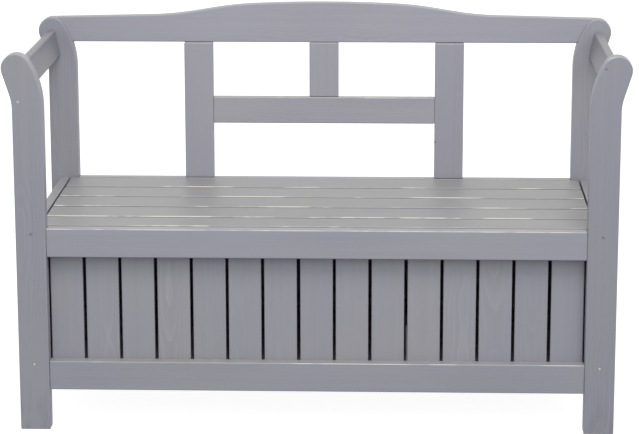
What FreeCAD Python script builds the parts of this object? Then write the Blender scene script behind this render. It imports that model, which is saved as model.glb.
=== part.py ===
import FreeCAD, Part
import math
import os
import Sketcher
from FreeCAD import Vector

# A painted wooden storage settle: a slatted chest between four S-curved posts,
# with arms, an open back under an arched crest rail and a slatted lid as the seat.
# Millimetres. X runs along the bench, Y from front to back, Z up.
# The origin lies on the floor under the middle of the bench.

doc = FreeCAD.newDocument("storage_settle")
sizes = doc.addObject("Spreadsheet::Sheet", "sizes")

driving_sizes = [
    ("leg_span", 1250, "outer faces of the straight legs"),
    ("depth_all", 566, "front of the front posts to back of the rear posts"),
    ("seat_top", 435, "top of the seat above the floor"),
    ("edge_round", 2.5, "rounding of every sawn edge"),
    ("joint_fit", 0.3, "clearance where one piece rests on another body"),
    ("post_wide", 63, "width of a post seen from the front"),
    ("post_thick", 34, "thickness of a post from front to back"),
    ("post_lean", 17.5, "lean of the head, degrees from upright"),
    ("head_top", 802, "top of a post's head"),
    ("head_radius", 30, "radius of a post's head"),
    ("head_out", 20.5, "how far the head stands out past the leg"),
    ("neck_radius", 100, "hollow bend under the head, outer side"),
    ("neck_down", 112, "where the inner side starts to curve, below the post's top"),
    ("rail_thick", 28, "thickness of the two front rails"),
    ("rail_inset", 4, "front rails behind the front of the posts"),
    ("seat_rail_high", 61, "height of the rails under the seat"),
    ("low_rail_high", 62, "height of the bottom rails"),
    ("low_rail_up", 87, "underside of the bottom rails"),
    ("side_rail_thick", 20, "thickness of the side rails"),
    ("back_thick", 22, "thickness of rear rails, uprights and crest"),
    ("crest_down", 56, "underside of the crest rail below the posts' tops"),
    ("shoulder_rise", 5, "where the crest's curve starts, above the posts' tops"),
    ("crown_rise", 30, "highest point of the crest above the start of its curve"),
    ("shoulder_at", 390, "where the curve starts, from the middle"),
    ("crown_half", 160, "half length of the gently arched crown"),
    ("crown_drop", 4, "fall of the crown at its two ends"),
    ("upright_wide", 65, "width of a back upright"),
    ("upright_out", 316, "outer edge of an upright, from the middle"),
    ("middle_rail_up", 562, "underside of the middle back rail"),
    ("middle_rail_high", 60, "height of the middle back rail"),
    ("middle_rail_thick", 20, "thickness of the middle back rail"),
    ("muntin_wide", 66, "width of the short centre board"),
    ("muntin_thick", 14, "thickness of the short centre board"),
    ("arm_thick", 20, "thickness of an arm"),
    ("arm_high", 62, "height of an arm's board"),
    ("arm_lean", 12, "lean of an arm, degrees from upright"),
    ("arm_past_leg", 33.5, "lower inner edge of an arm past the leg's inner face"),
    ("arm_down", 87, "lower inner edge of an arm below the posts' tops"),
    ("arm_round", 6, "rounding of an arm's long edges"),
    ("panel_thick", 14, "thickness of the boards of the chest's walls"),
    ("panel_gap", 6.6, "gap between two boards of a wall"),
    ("panel_end_gap", 3, "gap at the end of a wall"),
    ("panel_above_rail", 5, "boards start above the rail's lower edge"),
    ("panel_top_gap", 7, "front boards and rear panel end under the lid"),
    ("rear_panel_thick", 9, "thickness of the panel that closes the chest's back"),
    ("lid_past_leg", 18, "end of the lid past the leg's inner face"),
    ("lid_thick", 20, "thickness of the lid's slats"),
    ("lid_front_gap", 5, "gap between front rail and lid"),
    ("lid_gap", 3.5, "gap between two slats of the lid"),
    ("lid_front_slat", 85, "width of the narrower front slat"),
    ("lid_side_gap", 3, "gap between the lid and a side rail"),
    ("slat_round", 5, "rounding of the lid slats' edges"),
    ("batten_wide", 45, "width of a batten under the lid"),
    ("batten_thick", 20, "thickness of a batten under the lid"),
    ("batten_in", 20, "batten ends behind the lid's edges"),
    ("batten_from_end", 110, "middle of an outer batten, from the lid's end"),
    ("cleat_wide", 22, "width of the cleats that carry the lid"),
    ("cleat_high", 22, "height of the cleats that carry the lid"),
    ("floor_cleat", 20, "section of the cleats under the floor"),
    ("floor_cleat_up", 18, "underside of the floor cleats above that of the bottom rails"),
    ("floor_thick", 12, "thickness of the chest's floor boards"),
    ("floor_gap", 0.3, "gap between two floor boards, laid edge to edge"),
    ("hinge_from_end", 180, "middle of a hinge, from the lid's end"),
    ("hinge_long", 60, "length of a hinge"),
    ("hinge_gap", 6, "room behind the lid that holds the hinge"),
    ("hinge_drop", 3, "hinge pin below the top of the seat"),
    ("barrel_radius", 2.5, "outer radius of a hinge barrel"),
    ("pin_radius", 1.2, "radius of a hinge pin"),
    ("pin_fit", 0.06, "running clearance round a hinge pin"),
    ("knuckle_gap", 0.4, "gap between two knuckles"),
    ("leaf_thick", 1.5, "thickness of a hinge leaf"),
    ("leaf_high", 15, "height of a hinge leaf below its pin"),
    ("hinge_screw", 1.6, "radius of a hinge screw"),
    ("hinge_screw_head", 3, "radius of a hinge screw's head"),
    ("hinge_screw_long", 14, "length of a hinge screw"),
    ("frame_screw", 2.5, "radius of a frame screw"),
    ("frame_screw_head", 4, "radius of a frame screw's head"),
    ("frame_screw_long", 80, "length of a frame screw"),
    ("frame_screw_sink", 3, "thickness of a frame screw's sunk head"),
    ("high_screw_down", 11, "upper frame screws below the seat"),
    ("low_screw_down", 6, "lower frame screws below the rail's top"),
    ("screw_fit", 0.05, "clearance round a screw in its hole"),
]
front_panel_boards = 15
side_panel_boards = 7
floor_board_count = 12
wide_lid_slats = 4

for row, (name, value, note) in enumerate(driving_sizes, start=1):
    sizes.set(f"A{row}", note)
    sizes.set(f"B{row}", str(value))
    sizes.setAlias(f"B{row}", name)
doc.recompute()


def size(name):
    return float(sizes.get(name))


def words(expression):
    """Turn the short form of an expression into the sheet's own names."""
    out = []
    word = ""
    for letter in expression + " ":
        if letter.isalpha() or letter == "_":
            word += letter
            continue
        if word:
            out.append(f"sizes.{word}" if sizes.getCellFromAlias(word) else word)
        word = ""
        out.append(letter)
    return "".join(out).strip()


# Levels and faces that several pieces share
front = "(-depth_all / 2)"
rear = "(depth_all / 2)"
rear_front = "(depth_all / 2 - post_thick)"
inner = "(leg_span / 2 - post_wide)"
front_rail = f"({front} + rail_inset)"
panel_front = f"({front_rail} + rail_thick)"
lid_half = f"({inner} + lid_past_leg)"
side_rail_inner = f"({lid_half} + lid_side_gap)"
between_posts = "(depth_all - 2 * post_thick)"
lid_front = f"({panel_front} + lid_front_gap)"
lid_rear = f"({rear_front} - hinge_gap)"
lid_under = "(seat_top - lid_thick)"
wide_slat = f"(({lid_rear} - {lid_front} - lid_front_slat) / {wide_lid_slats} - lid_gap)"
hinge_y = f"({rear_front} - hinge_gap / 2)"
hinge_z = "(seat_top - hinge_drop)"
hinge_at = f"({lid_half} - hinge_from_end)"
screw_x = f"({side_rail_inner} + side_rail_thick / 2)"
high_screw_z = "(seat_top - high_screw_down)"
low_screw_z = "(low_rail_up + low_rail_high - low_screw_down)"
crest_under = "(head_top - crest_down)"
floor_cleat_low = "(low_rail_up + floor_cleat_up)"

nodes = []


def sketch_in(body, plane_role, name):
    plane = [f for f in body.Origin.OriginFeatures if f.Role == plane_role][0]
    sketch = body.newObject("Sketcher::SketchObject", name)
    sketch.AttachmentSupport = (plane, [""])
    sketch.MapMode = "FlatFace"
    return sketch


def bind(thing, path, expression):
    thing.setExpression(path, words(expression))


def place(thing, corner):
    for axis, expression in zip("xyz", corner):
        bind(thing, f"Placement.Base.{axis}", expression)


def bound(sketch, constraint, expression):
    index = sketch.addConstraint(constraint)
    bind(sketch, f"Constraints[{index}]", expression)


def rectangle(sketch, wide, high):
    """A rectangle from the sketch's origin, with both sides bound."""
    corners = [Vector(0, 0, 0), Vector(10, 0, 0), Vector(10, 10, 0), Vector(0, 10, 0)]
    for k in range(4):
        sketch.addGeometry(Part.LineSegment(corners[k], corners[(k + 1) % 4]), False)
    for k in range(4):
        sketch.addConstraint(Sketcher.Constraint("Coincident", k, 2, (k + 1) % 4, 1))
    sketch.addConstraint(Sketcher.Constraint("Horizontal", 0))
    sketch.addConstraint(Sketcher.Constraint("Horizontal", 2))
    sketch.addConstraint(Sketcher.Constraint("Vertical", 1))
    sketch.addConstraint(Sketcher.Constraint("Vertical", 3))
    sketch.addConstraint(Sketcher.Constraint("Coincident", 0, 1, -1, 1))
    bound(sketch, Sketcher.Constraint("DistanceX", 0, 1, 0, 2, 10), wide)
    bound(sketch, Sketcher.Constraint("DistanceY", 1, 1, 1, 2, 10), high)


def pad(body, sketch, length, name="pad"):
    feature = body.newObject("PartDesign::Pad", name)
    feature.Profile = sketch
    bind(feature, "Length", length)
    return feature


def rounded(body, feature, radius="edge_round"):
    fillet = body.newObject("PartDesign::Fillet", "rounding")
    fillet.Base = (feature, [""])
    fillet.UseAllEdges = True
    bind(fillet, "Radius", radius)
    return fillet


def board_body(name, corner, lengths, radius="edge_round"):
    """A planed board: its lowest corner and its lengths along X, Y and Z."""
    body = doc.addObject("PartDesign::Body", name)
    sketch = sketch_in(body, "XY_Plane", f"{name}_outline")
    rectangle(sketch, lengths[0], lengths[1])
    feature = pad(body, sketch, lengths[2])
    rounded(body, feature, radius)
    place(body, corner)
    return body


def node(thing, label):
    thing.Label = label
    nodes.append(thing)
    return thing


def board(label, corner, lengths, radius="edge_round"):
    return node(board_body(label, corner, lengths, radius), label)


def cylinder(name, centre, direction, radius, length):
    """A rod from its centre point at one end, along an axis direction."""
    rod = doc.addObject("Part::Cylinder", name)
    rod.Placement = FreeCAD.Placement(Vector(0, 0, 0), FreeCAD.Rotation(Vector(0, 0, 1), direction))
    bind(rod, "Radius", radius)
    bind(rod, "Height", length)
    place(rod, centre)
    return rod


def group(name, things):
    joined = doc.addObject("Part::Compound", name)
    joined.Links = things
    return joined


def fused(name, things):
    joined = doc.addObject("Part::MultiFuse", name)
    joined.Shapes = things
    return joined


def cut(name, base, tools):
    result = doc.addObject("Part::Cut", name)
    result.Base = base
    result.Tool = tools[0] if len(tools) == 1 else fused(f"{name}_tools", tools)
    return result


forward = Vector(0, -1, 0)
backward = Vector(0, 1, 0)
sideways = Vector(1, 0, 0)
sides = [("left", -1), ("right", 1)]


# The S-curved posts
def post_points():
    """The bends and the head of a post, for the side where X is positive."""
    lean = math.radians(size("post_lean"))
    outer_x = size("leg_span") / 2
    inner_x = outer_x - size("post_wide")
    radius = size("head_radius")
    head = Vector(outer_x + size("head_out") - radius, size("head_top") - radius, 0)
    outer_touch = head + Vector(math.cos(lean), -math.sin(lean), 0) * radius
    corner_z = outer_touch.y - (outer_touch.x - outer_x) / math.tan(lean)
    neck = size("neck_radius")
    neck_low_z = corner_z - neck * math.tan(lean / 2)
    neck_centre = Vector(outer_x + neck, neck_low_z, 0)
    across = head.x - inner_x
    neck_start = size("head_top") - size("neck_down")
    rise = head.y - neck_start
    inner_radius = (across**2 + rise**2 - radius**2) / (2 * (across - radius))
    inner_centre = Vector(inner_x + inner_radius, neck_start, 0)
    toward_head = (head - inner_centre).normalize()
    crest_low = size("head_top") - size("crest_down")
    return {
        "foot_outer": Vector(outer_x, 0, 0),
        "foot_inner": Vector(inner_x, 0, 0),
        "neck_low": Vector(outer_x, neck_low_z, 0),
        "neck_middle": neck_centre + Vector(-math.cos(lean / 2), math.sin(lean / 2), 0) * neck,
        "neck_high": neck_centre + Vector(-math.cos(lean), math.sin(lean), 0) * neck,
        "outer_touch": outer_touch,
        "crest_corner": Vector(outer_x + (crest_low - corner_z) * math.tan(lean), crest_low, 0),
        "head_shoulder": head + Vector(math.sqrt(0.5), math.sqrt(0.5), 0) * radius,
        "head_apex": head + Vector(0, radius, 0),
        "inner_touch": head + toward_head * radius,
        "inner_middle": inner_centre + (toward_head + Vector(-1, 0, 0)).normalize() * inner_radius,
        "inner_low": Vector(inner_x, neck_start, 0),
    }


def turned(point, side):
    return Vector(point.x * side, point.y, 0)


def post_body(name, side, y_place):
    body = doc.addObject("PartDesign::Body", name)
    sketch = sketch_in(body, "XZ_Plane", f"{name}_outline")
    at = {key: turned(point, side) for key, point in post_points().items()}
    edges = [
        Part.LineSegment(at["foot_inner"], at["foot_outer"]),
        Part.LineSegment(at["foot_outer"], at["neck_low"]),
        Part.Arc(at["neck_low"], at["neck_middle"], at["neck_high"]),
        Part.LineSegment(at["neck_high"], at["outer_touch"]),
        Part.Arc(at["outer_touch"], at["head_shoulder"], at["inner_touch"]),
        Part.Arc(at["inner_touch"], at["inner_middle"], at["inner_low"]),
        Part.LineSegment(at["inner_low"], at["foot_inner"]),
    ]
    for edge in edges:
        sketch.addGeometry(edge, False)
    feature = pad(body, sketch, "post_thick")
    feature.Reversed = True
    rounded(body, feature)
    place(body, ("0", y_place, "0"))
    return body


def screw_hole(name, x, z, y_from, direction, grow="screw_fit"):
    """The hole of a frame screw with its counterbore, as two rods."""
    shank = cylinder(f"{name}_shank", (x, y_from, z), direction, f"frame_screw + {grow}",
                     f"frame_screw_long + {grow}")
    head = cylinder(f"{name}_head", (x, y_from, z), direction, f"frame_screw_head + {grow}",
                    "frame_screw_sink")
    return [shank, head]


def frame_screw_holes(name, side, at_front):
    y_from = front if at_front else rear
    direction = backward if at_front else forward
    rods = []
    for level, z in (("high", high_screw_z), ("low", low_screw_z)):
        rods += screw_hole(f"{name}_{level}", f"{side} * {screw_x}", z, y_from, direction)
    return rods


for side_name, side in sides:
    label = f"front_{side_name}_post"
    blank = post_body(f"{label}_blank", side, front)
    drilled = cut(f"{label}_drilled", blank, frame_screw_holes(label, side, True))
    node(drilled, label)

for side_name, side in sides:
    label = f"rear_{side_name}_post"
    blank = post_body(f"{label}_blank", side, rear_front)
    notch = doc.addObject("Part::Box", f"{label}_notch")
    bind(notch, "Length", "2 * post_wide")
    bind(notch, "Width", "back_thick")
    bind(notch, "Height", "crest_down + edge_round")
    place(notch, (f"{side} * leg_span / 2 - post_wide", f"{rear} - back_thick", crest_under))
    drilled = cut(f"{label}_drilled", blank, frame_screw_holes(label, side, False) + [notch])
    node(drilled, label)


# The arms, boards on edge that lean out with the posts
def arm(label, side):
    body = doc.addObject("PartDesign::Body", label)
    sketch = sketch_in(body, "XZ_Plane", f"{label}_section")
    lean = math.radians(size("arm_lean"))
    up = Vector(math.sin(lean), math.cos(lean), 0) * size("arm_high")
    out = Vector(math.cos(lean), -math.sin(lean), 0) * size("arm_thick")
    low = Vector(0, 0, 0)
    corners = [turned(point, side) for point in (low, low + out, low + out + up, low + up)]
    for k in range(4):
        sketch.addGeometry(Part.LineSegment(corners[k], corners[(k + 1) % 4]), False)
    for k in range(4):
        sketch.addConstraint(Sketcher.Constraint("Coincident", k, 2, (k + 1) % 4, 1))
    for k in range(3):
        sketch.addConstraint(Sketcher.Constraint("Perpendicular", k, k + 1))
    bound(sketch, Sketcher.Constraint("Distance", 0, size("arm_thick")), "arm_thick")
    bound(sketch, Sketcher.Constraint("Distance", 1, size("arm_high")), "arm_high")
    feature = pad(body, sketch, between_posts)
    feature.Reversed = True
    rounded(body, feature, "arm_round")
    place(body, (f"{side} * ({inner} + arm_past_leg)", f"{front} + post_thick",
                 "head_top - arm_down"))
    return node(body, label)


for side_name, side in sides:
    arm(f"{side_name}_arm", side)


# The crest rail, lapped into the backs of the rear posts' heads
sweep_share = 0.42  # each end of the sweep keeps its slope for this share of the sweep's length


def crest_rail():
    body = doc.addObject("PartDesign::Body", "crest_rail")
    sketch = sketch_in(body, "XZ_Plane", "crest_outline")
    shoulder = Vector(size("shoulder_at"), size("head_top") + size("shoulder_rise"), 0)
    crown_top = shoulder.y + size("crown_rise")
    crown_end = Vector(size("crown_half"), crown_top - size("crown_drop"), 0)
    reach = sweep_share * (shoulder.x - crown_end.x)
    crown_slope = 2 * size("crown_drop") / size("crown_half")
    apex = post_points()["head_apex"]
    end_slope = (shoulder.y - apex.y) / (apex.x - shoulder.x)
    poles = [
        shoulder,
        shoulder + Vector(-reach, reach * end_slope, 0),
        crown_end + Vector(reach, -reach * crown_slope, 0),
        crown_end,
    ]
    edges = []
    for side in (1, -1):
        at = {key: turned(point, side) for key, point in post_points().items()}
        sweep = Part.BezierCurve()
        sweep.setPoles([turned(pole, side) for pole in poles])
        edges += [
            Part.LineSegment(at["crest_corner"], at["outer_touch"]),
            Part.Arc(at["outer_touch"], at["head_shoulder"], at["head_apex"]),
            Part.LineSegment(at["head_apex"], turned(shoulder, side)),
            sweep.toBSpline(),
        ]
    corner = post_points()["crest_corner"]
    edges.append(Part.Arc(crown_end, Vector(0, crown_top, 0), turned(crown_end, -1)))
    edges.append(Part.LineSegment(turned(corner, -1), corner))
    for edge in edges:
        sketch.addGeometry(edge, False)
    feature = pad(body, sketch, "back_thick")
    feature.Reversed = True
    rounded(body, feature)
    place(body, ("0", f"{rear} - back_thick", "0"))
    return node(body, "crest_rail")


crest_rail()

# The open back
for side_name, side in sides:
    low_x = "upright_out - upright_wide" if side > 0 else "-upright_out"
    board(f"{side_name}_upright", (low_x, rear_front, "seat_top"),
          ("upright_wide", "back_thick", f"{crest_under} - seat_top"))
back_middle = f"({rear_front} + back_thick / 2)"
board("middle_rail",
      ("upright_wide - upright_out", f"{back_middle} - middle_rail_thick / 2", "middle_rail_up"),
      ("2 * (upright_out - upright_wide)", "middle_rail_thick", "middle_rail_high"))
board("centre_muntin",
      ("-muntin_wide / 2", f"{rear_front} + back_thick - muntin_thick",
       "middle_rail_up + middle_rail_high"),
      ("muntin_wide", "muntin_thick", f"{crest_under} - middle_rail_up - middle_rail_high"))

# The rails of the chest
levels = [
    ("seat", "seat_top - seat_rail_high", "seat_rail_high"),
    ("bottom", "low_rail_up", "low_rail_high"),
]
for level, low_z, high in levels:
    board(f"front_{level}_rail", (f"-{inner}", front_rail, low_z),
          (f"2 * {inner}", "rail_thick", high))
    if level == "bottom":
        board("rear_bottom_rail", (f"-{inner}", rear_front, low_z),
              (f"2 * {inner}", "back_thick", high))

for side_name, side in sides:
    low_x = side_rail_inner if side > 0 else f"-{side_rail_inner} - side_rail_thick"
    for level, low_z, high in levels:
        label = f"{side_name}_{level}_rail"
        blank = board_body(f"{label}_blank", (low_x, f"{front} + post_thick", low_z),
                           ("side_rail_thick", between_posts, high))
        screw_z = high_screw_z if level == "seat" else low_screw_z
        rods = []
        for end, y_from, direction in (("front", front, backward), ("rear", rear, forward)):
            rods.append(cylinder(f"{label}_{end}_hole", (f"{side} * {screw_x}", y_from, screw_z),
                                 direction, "frame_screw + screw_fit",
                                 "frame_screw_long + screw_fit"))
        node(cut(f"{label}_drilled", blank, rods), label)


# Screws through the posts into the side rails
def frame_screws():
    pieces = []
    for side_name, side in sides:
        for end, y_from, direction in (("front", front, backward), ("rear", rear, forward)):
            for level, z in (("high", high_screw_z), ("low", low_screw_z)):
                name = f"screw_{end}_{side_name}_{level}"
                head_y = f"{y_from} + {direction.y} * joint_fit"
                shank = cylinder(f"{name}_shank", (f"{side} * {screw_x}", head_y, z), direction,
                                 "frame_screw", "frame_screw_long - joint_fit")
                head = cylinder(f"{name}_head", (f"{side} * {screw_x}", head_y, z), direction,
                                "frame_screw_head", "frame_screw_sink - joint_fit")
                pieces.append(fused(name, [shank, head]))
    return node(group("frame_screws_group", pieces), "frame_screws")


frame_screws()

# The walls of the chest: slats in front and at the sides
panel_low = "(low_rail_up + panel_above_rail)"
panel_high = f"({lid_under} - panel_top_gap - {panel_low})"
panel_wide = (f"((2 * {inner} - 2 * panel_end_gap - {front_panel_boards - 1} * panel_gap)"
              f" / {front_panel_boards})")


def panel_x(k):
    return f"-{inner} + panel_end_gap + {k} * ({panel_wide} + panel_gap)"


for k in range(front_panel_boards):
    board(f"front_slat_{k + 1:02d}", (panel_x(k), panel_front, panel_low),
          (panel_wide, "panel_thick", panel_high))

# One closed panel backs the chest
board("rear_panel", (f"-{inner} + panel_end_gap", f"{rear_front} - rear_panel_thick", panel_low),
      (f"2 * ({inner} - panel_end_gap)", "rear_panel_thick", panel_high))

cleat_low = f"({lid_under} - joint_fit - cleat_high)"
side_wide = (f"(({between_posts} - 2 * panel_end_gap - {side_panel_boards - 1} * panel_gap)"
             f" / {side_panel_boards})")
for side_name, side in sides:
    side_x = f"{side_rail_inner} - panel_thick" if side > 0 else f"-{side_rail_inner}"
    boards = []
    for k in range(side_panel_boards):
        y_low = f"{front} + post_thick + panel_end_gap + {k} * ({side_wide} + panel_gap)"
        boards.append(board_body(f"{side_name}_side_slat_{k + 1}", (side_x, y_low, panel_low),
                                 ("panel_thick", side_wide, f"{cleat_low} - {panel_low}")))
    node(group(f"{side_name}_side_slats_group", boards), f"{side_name}_side_slats")
    cleat_x = f"{side_rail_inner} - cleat_wide" if side > 0 else f"-{side_rail_inner}"
    board(f"{side_name}_lid_cleat",
          (cleat_x, f"{front} + post_thick + panel_end_gap", cleat_low),
          ("cleat_wide", f"{between_posts} - 2 * panel_end_gap", "cleat_high"))

# The chest's floor on its two cleats
inner_front = f"({panel_front} + panel_thick)"
inner_rear = f"({rear_front} - rear_panel_thick)"
cleat_half = f"({side_rail_inner} - panel_thick)"
board("front_floor_cleat", (f"-{cleat_half}", inner_front, floor_cleat_low),
      (f"2 * {cleat_half}", "floor_cleat", "floor_cleat"))
board("rear_floor_cleat", (f"-{cleat_half}", f"{inner_rear} - floor_cleat", floor_cleat_low),
      (f"2 * {cleat_half}", "floor_cleat", "floor_cleat"))
floor_wide = (f"((2 * {cleat_half} - {floor_board_count + 1} * floor_gap)"
              f" / {floor_board_count})")
floor_boards = []
for k in range(floor_board_count):
    floor_boards.append(board_body(
        f"floor_board_{k + 1:02d}",
        (f"-{cleat_half} + floor_gap + {k} * ({floor_wide} + floor_gap)", inner_front,
         f"{floor_cleat_low} + floor_cleat"),
        (floor_wide, f"{inner_rear} - {inner_front}", "floor_thick"), "edge_round / 2"))
node(group("floor_boards_group", floor_boards), "floor_boards")


# Hinge screws lie on this line, below the pin
hinge_screw_z = f"({hinge_z} - leaf_high + leaf_high / 3)"
hinge_screw_offsets = ["-hinge_long / 3", "0", "hinge_long / 3"]


def hinge_screw_rods(name, y_from, direction, radius, length):
    rods = []
    for side_name, side in sides:
        for k, offset in enumerate(hinge_screw_offsets):
            rods.append(cylinder(f"{name}_{side_name}_{k}",
                                 (f"{side} * {hinge_at} + {offset}", y_from, hinge_screw_z),
                                 direction, radius, length))
    return rods


# The rear rail under the back, drilled for the hinge screws
blank = board_body("rear_seat_rail_blank", (f"-{inner}", rear_front, "seat_top - seat_rail_high"),
                   (f"2 * {inner}", "back_thick", "seat_rail_high"))
rods = hinge_screw_rods("rear_rail_hole", rear_front, backward, "hinge_screw + screw_fit",
                        "hinge_screw_long")
node(cut("rear_seat_rail_drilled", blank, rods), "rear_seat_rail")

# The lid: five slats on three battens
lid_slat_y = [lid_front]
lid_slat_wide = ["lid_front_slat"]
for k in range(wide_lid_slats):
    lid_slat_y.append(f"({lid_front} + lid_front_slat + lid_gap + {k} * ({wide_slat} + lid_gap))")
    lid_slat_wide.append(wide_slat)
for k, (y_low, wide) in enumerate(zip(lid_slat_y, lid_slat_wide)):
    label = f"lid_slat_{k + 1}"
    slat = board_body(f"{label}_blank", (f"-{lid_half}", y_low, lid_under),
                      (f"2 * {lid_half}", wide, "lid_thick"), "slat_round")
    if k < wide_lid_slats:
        node(slat, label)
        continue
    rods = hinge_screw_rods("lid_hole", lid_rear, forward, "hinge_screw + screw_fit",
                            "hinge_screw_long")
    node(cut(f"{label}_drilled", slat, rods), label)
batten_at = f"({lid_half} - batten_from_end)"
for batten_name, batten_x in (("left", f"-{batten_at}"), ("middle", "0"), ("right", batten_at)):
    board(f"{batten_name}_lid_batten",
          (f"{batten_x} - batten_wide / 2", f"{lid_front} + batten_in",
           f"{lid_under} - batten_thick"),
          ("batten_wide", f"{lid_rear} - {lid_front} - 2 * batten_in", "batten_thick"))


# Two butt hinges stand in the gap behind the lid
def plain_box(name, corner, lengths):
    box = doc.addObject("Part::Box", name)
    for prop, expression in zip(("Length", "Width", "Height"), lengths):
        bind(box, prop, expression)
    place(box, corner)
    return box


knuckle_count = 5
knuckle_long = f"((hinge_long - {knuckle_count - 1} * knuckle_gap) / {knuckle_count})"


def hinge_leaf(label, side, owner):
    """A leaf with its own knuckles: owner 0 is the frame's leaf, 1 the lid's."""
    start = f"{side} * {hinge_at} - hinge_long / 2"
    leaf_y = f"{rear_front} - leaf_thick" if owner == 0 else lid_rear
    plate_top = "(barrel_radius + knuckle_gap)"
    pieces = [plain_box(f"{label}_plate", (start, leaf_y, f"{hinge_z} - leaf_high"),
                        ("hinge_long", "leaf_thick", f"leaf_high - {plate_top}"))]
    for k in range(owner, knuckle_count, 2):
        knuckle_x = f"{start} + {k} * ({knuckle_long} + knuckle_gap)"
        pieces.append(plain_box(f"{label}_tab_{k}", (knuckle_x, leaf_y, f"{hinge_z} - {plate_top}"),
                                (knuckle_long, "leaf_thick", plate_top)))
        pieces.append(cylinder(f"{label}_knuckle_{k}", (knuckle_x, hinge_y, hinge_z), sideways,
                               "barrel_radius", knuckle_long))
    leaf = fused(f"{label}_body", pieces)
    bore = cylinder(f"{label}_bore", (start, hinge_y, hinge_z), sideways,
                    "pin_radius + pin_fit", "hinge_long")
    holes = [bore]
    for k, offset in enumerate(hinge_screw_offsets):
        holes.append(cylinder(f"{label}_hole_{k}",
                              (f"{side} * {hinge_at} + {offset}", leaf_y, hinge_screw_z),
                              backward, "hinge_screw + screw_fit", "leaf_thick"))
    return node(cut(f"{label}_cut", leaf, holes), label)


for side_name, side in sides:
    hinge_leaf(f"{side_name}_hinge_frame_leaf", side, 0)
    hinge_leaf(f"{side_name}_hinge_lid_leaf", side, 1)
    pin = cylinder(f"{side_name}_pin", (f"{side} * {hinge_at} - hinge_long / 2", hinge_y, hinge_z),
                   sideways, "pin_radius", "hinge_long")
    node(pin, f"{side_name}_hinge_pin")


def hinge_screws(label, face_y, direction):
    """Low-headed screws: each head lies on its leaf, the shank runs into the wood."""
    pieces = []
    head_high = "(hinge_gap / 2 - leaf_thick) / 2"
    for side_name, side in sides:
        for k, offset in enumerate(hinge_screw_offsets):
            name = f"{label}_{side_name}_{k}"
            x = f"{side} * {hinge_at} + {offset}"
            leaf_face = f"{face_y} - {direction.y} * leaf_thick"
            shank = cylinder(f"{name}_shank", (x, leaf_face, hinge_screw_z), direction,
                             "hinge_screw", "hinge_screw_long")
            head = cylinder(f"{name}_head", (x, leaf_face, hinge_screw_z), direction * -1,
                            "hinge_screw_head", head_high)
            pieces.append(fused(name, [shank, head]))
    return node(group(f"{label}_group", pieces), label)


hinge_screws("frame_hinge_screws", rear_front, backward)
hinge_screws("lid_hinge_screws", lid_rear, forward)

# Everything is worked out, checked and written
doc.recompute()
failed = [thing.Name for thing in doc.Objects if {"Invalid", "Error"} & set(thing.State)]
if failed:
    raise RuntimeError(f"not worked out: {failed}")
for piece in nodes:
    if piece.Shape.isNull() or not piece.Shape.isValid():
        raise RuntimeError(f"no valid shape: {piece.Label}")
os.makedirs("parts", exist_ok=True)
for piece in nodes:
    piece.Shape.exportStep(f"parts/{piece.Label}.step")
print(len(nodes), "nodes,", sum(len(piece.Shape.Solids) for piece in nodes), "solids")
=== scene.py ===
import math
import random

import bmesh
import bpy
from mathutils import Matrix, Vector


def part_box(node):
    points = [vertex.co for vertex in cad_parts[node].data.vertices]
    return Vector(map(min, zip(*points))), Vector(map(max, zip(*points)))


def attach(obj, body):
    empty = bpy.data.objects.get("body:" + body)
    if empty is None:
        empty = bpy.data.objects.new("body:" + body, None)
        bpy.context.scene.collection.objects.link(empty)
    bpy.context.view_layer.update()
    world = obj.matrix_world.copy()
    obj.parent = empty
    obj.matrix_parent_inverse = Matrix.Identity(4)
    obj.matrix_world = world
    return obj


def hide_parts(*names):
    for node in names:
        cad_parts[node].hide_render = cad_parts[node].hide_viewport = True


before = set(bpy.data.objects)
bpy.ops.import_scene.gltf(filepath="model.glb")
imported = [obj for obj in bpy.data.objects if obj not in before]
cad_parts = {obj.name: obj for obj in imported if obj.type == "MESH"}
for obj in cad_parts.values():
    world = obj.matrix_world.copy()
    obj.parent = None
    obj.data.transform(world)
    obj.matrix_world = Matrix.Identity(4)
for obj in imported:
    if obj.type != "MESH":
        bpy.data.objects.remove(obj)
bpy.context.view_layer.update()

# The looks of a grey painted storage settle: satin paint brushed over pine, worn at the arrises, with
# highlight and shade painted at the arrises and in the seat's gaps.
# Metres, in the model's own frame: X along the bench, Y to the back, Z up from the floor.


# Node trees, written as sums
class Wire:
    def __init__(self, tree, socket):
        self.tree = tree
        self.socket = socket

    def output(self, name):                     # another output of the same node
        return Wire(self.tree, self.socket.node.outputs[name])

    def maths(self, operation, *values, clamp=False):
        sockets = dict(enumerate(values))
        return self.tree.node("ShaderNodeMath", {"operation": operation, "use_clamp": clamp}, sockets)

    def __add__(self, other):
        return self.maths("ADD", self, other)

    def __sub__(self, other):
        return self.maths("SUBTRACT", self, other)

    def __rsub__(self, other):
        return self.maths("SUBTRACT", other, self)

    def __mul__(self, other):
        return self.maths("MULTIPLY", self, other)

    def __truediv__(self, other):
        return self.maths("DIVIDE", self, other)

    def __pow__(self, other):
        return self.maths("POWER", self, other)

    __radd__ = __add__
    __rmul__ = __mul__

    def fraction(self):
        return self.maths("FRACT", self)

    def root(self):
        return self.maths("SQRT", self)

    def atLeast(self, other):
        return self.maths("MAXIMUM", self, other)

    def atMost(self, other):
        return self.maths("MINIMUM", self, other)

    def ramp(self, low, high, toLow=0.0, toHigh=1.0):        # a smooth step between two values
        sockets = {"Value": self, "From Min": low, "From Max": high, "To Min": toLow, "To Max": toHigh}
        return self.tree.node("ShaderNodeMapRange", {"interpolation_type": "SMOOTHSTEP"}, sockets)


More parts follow.
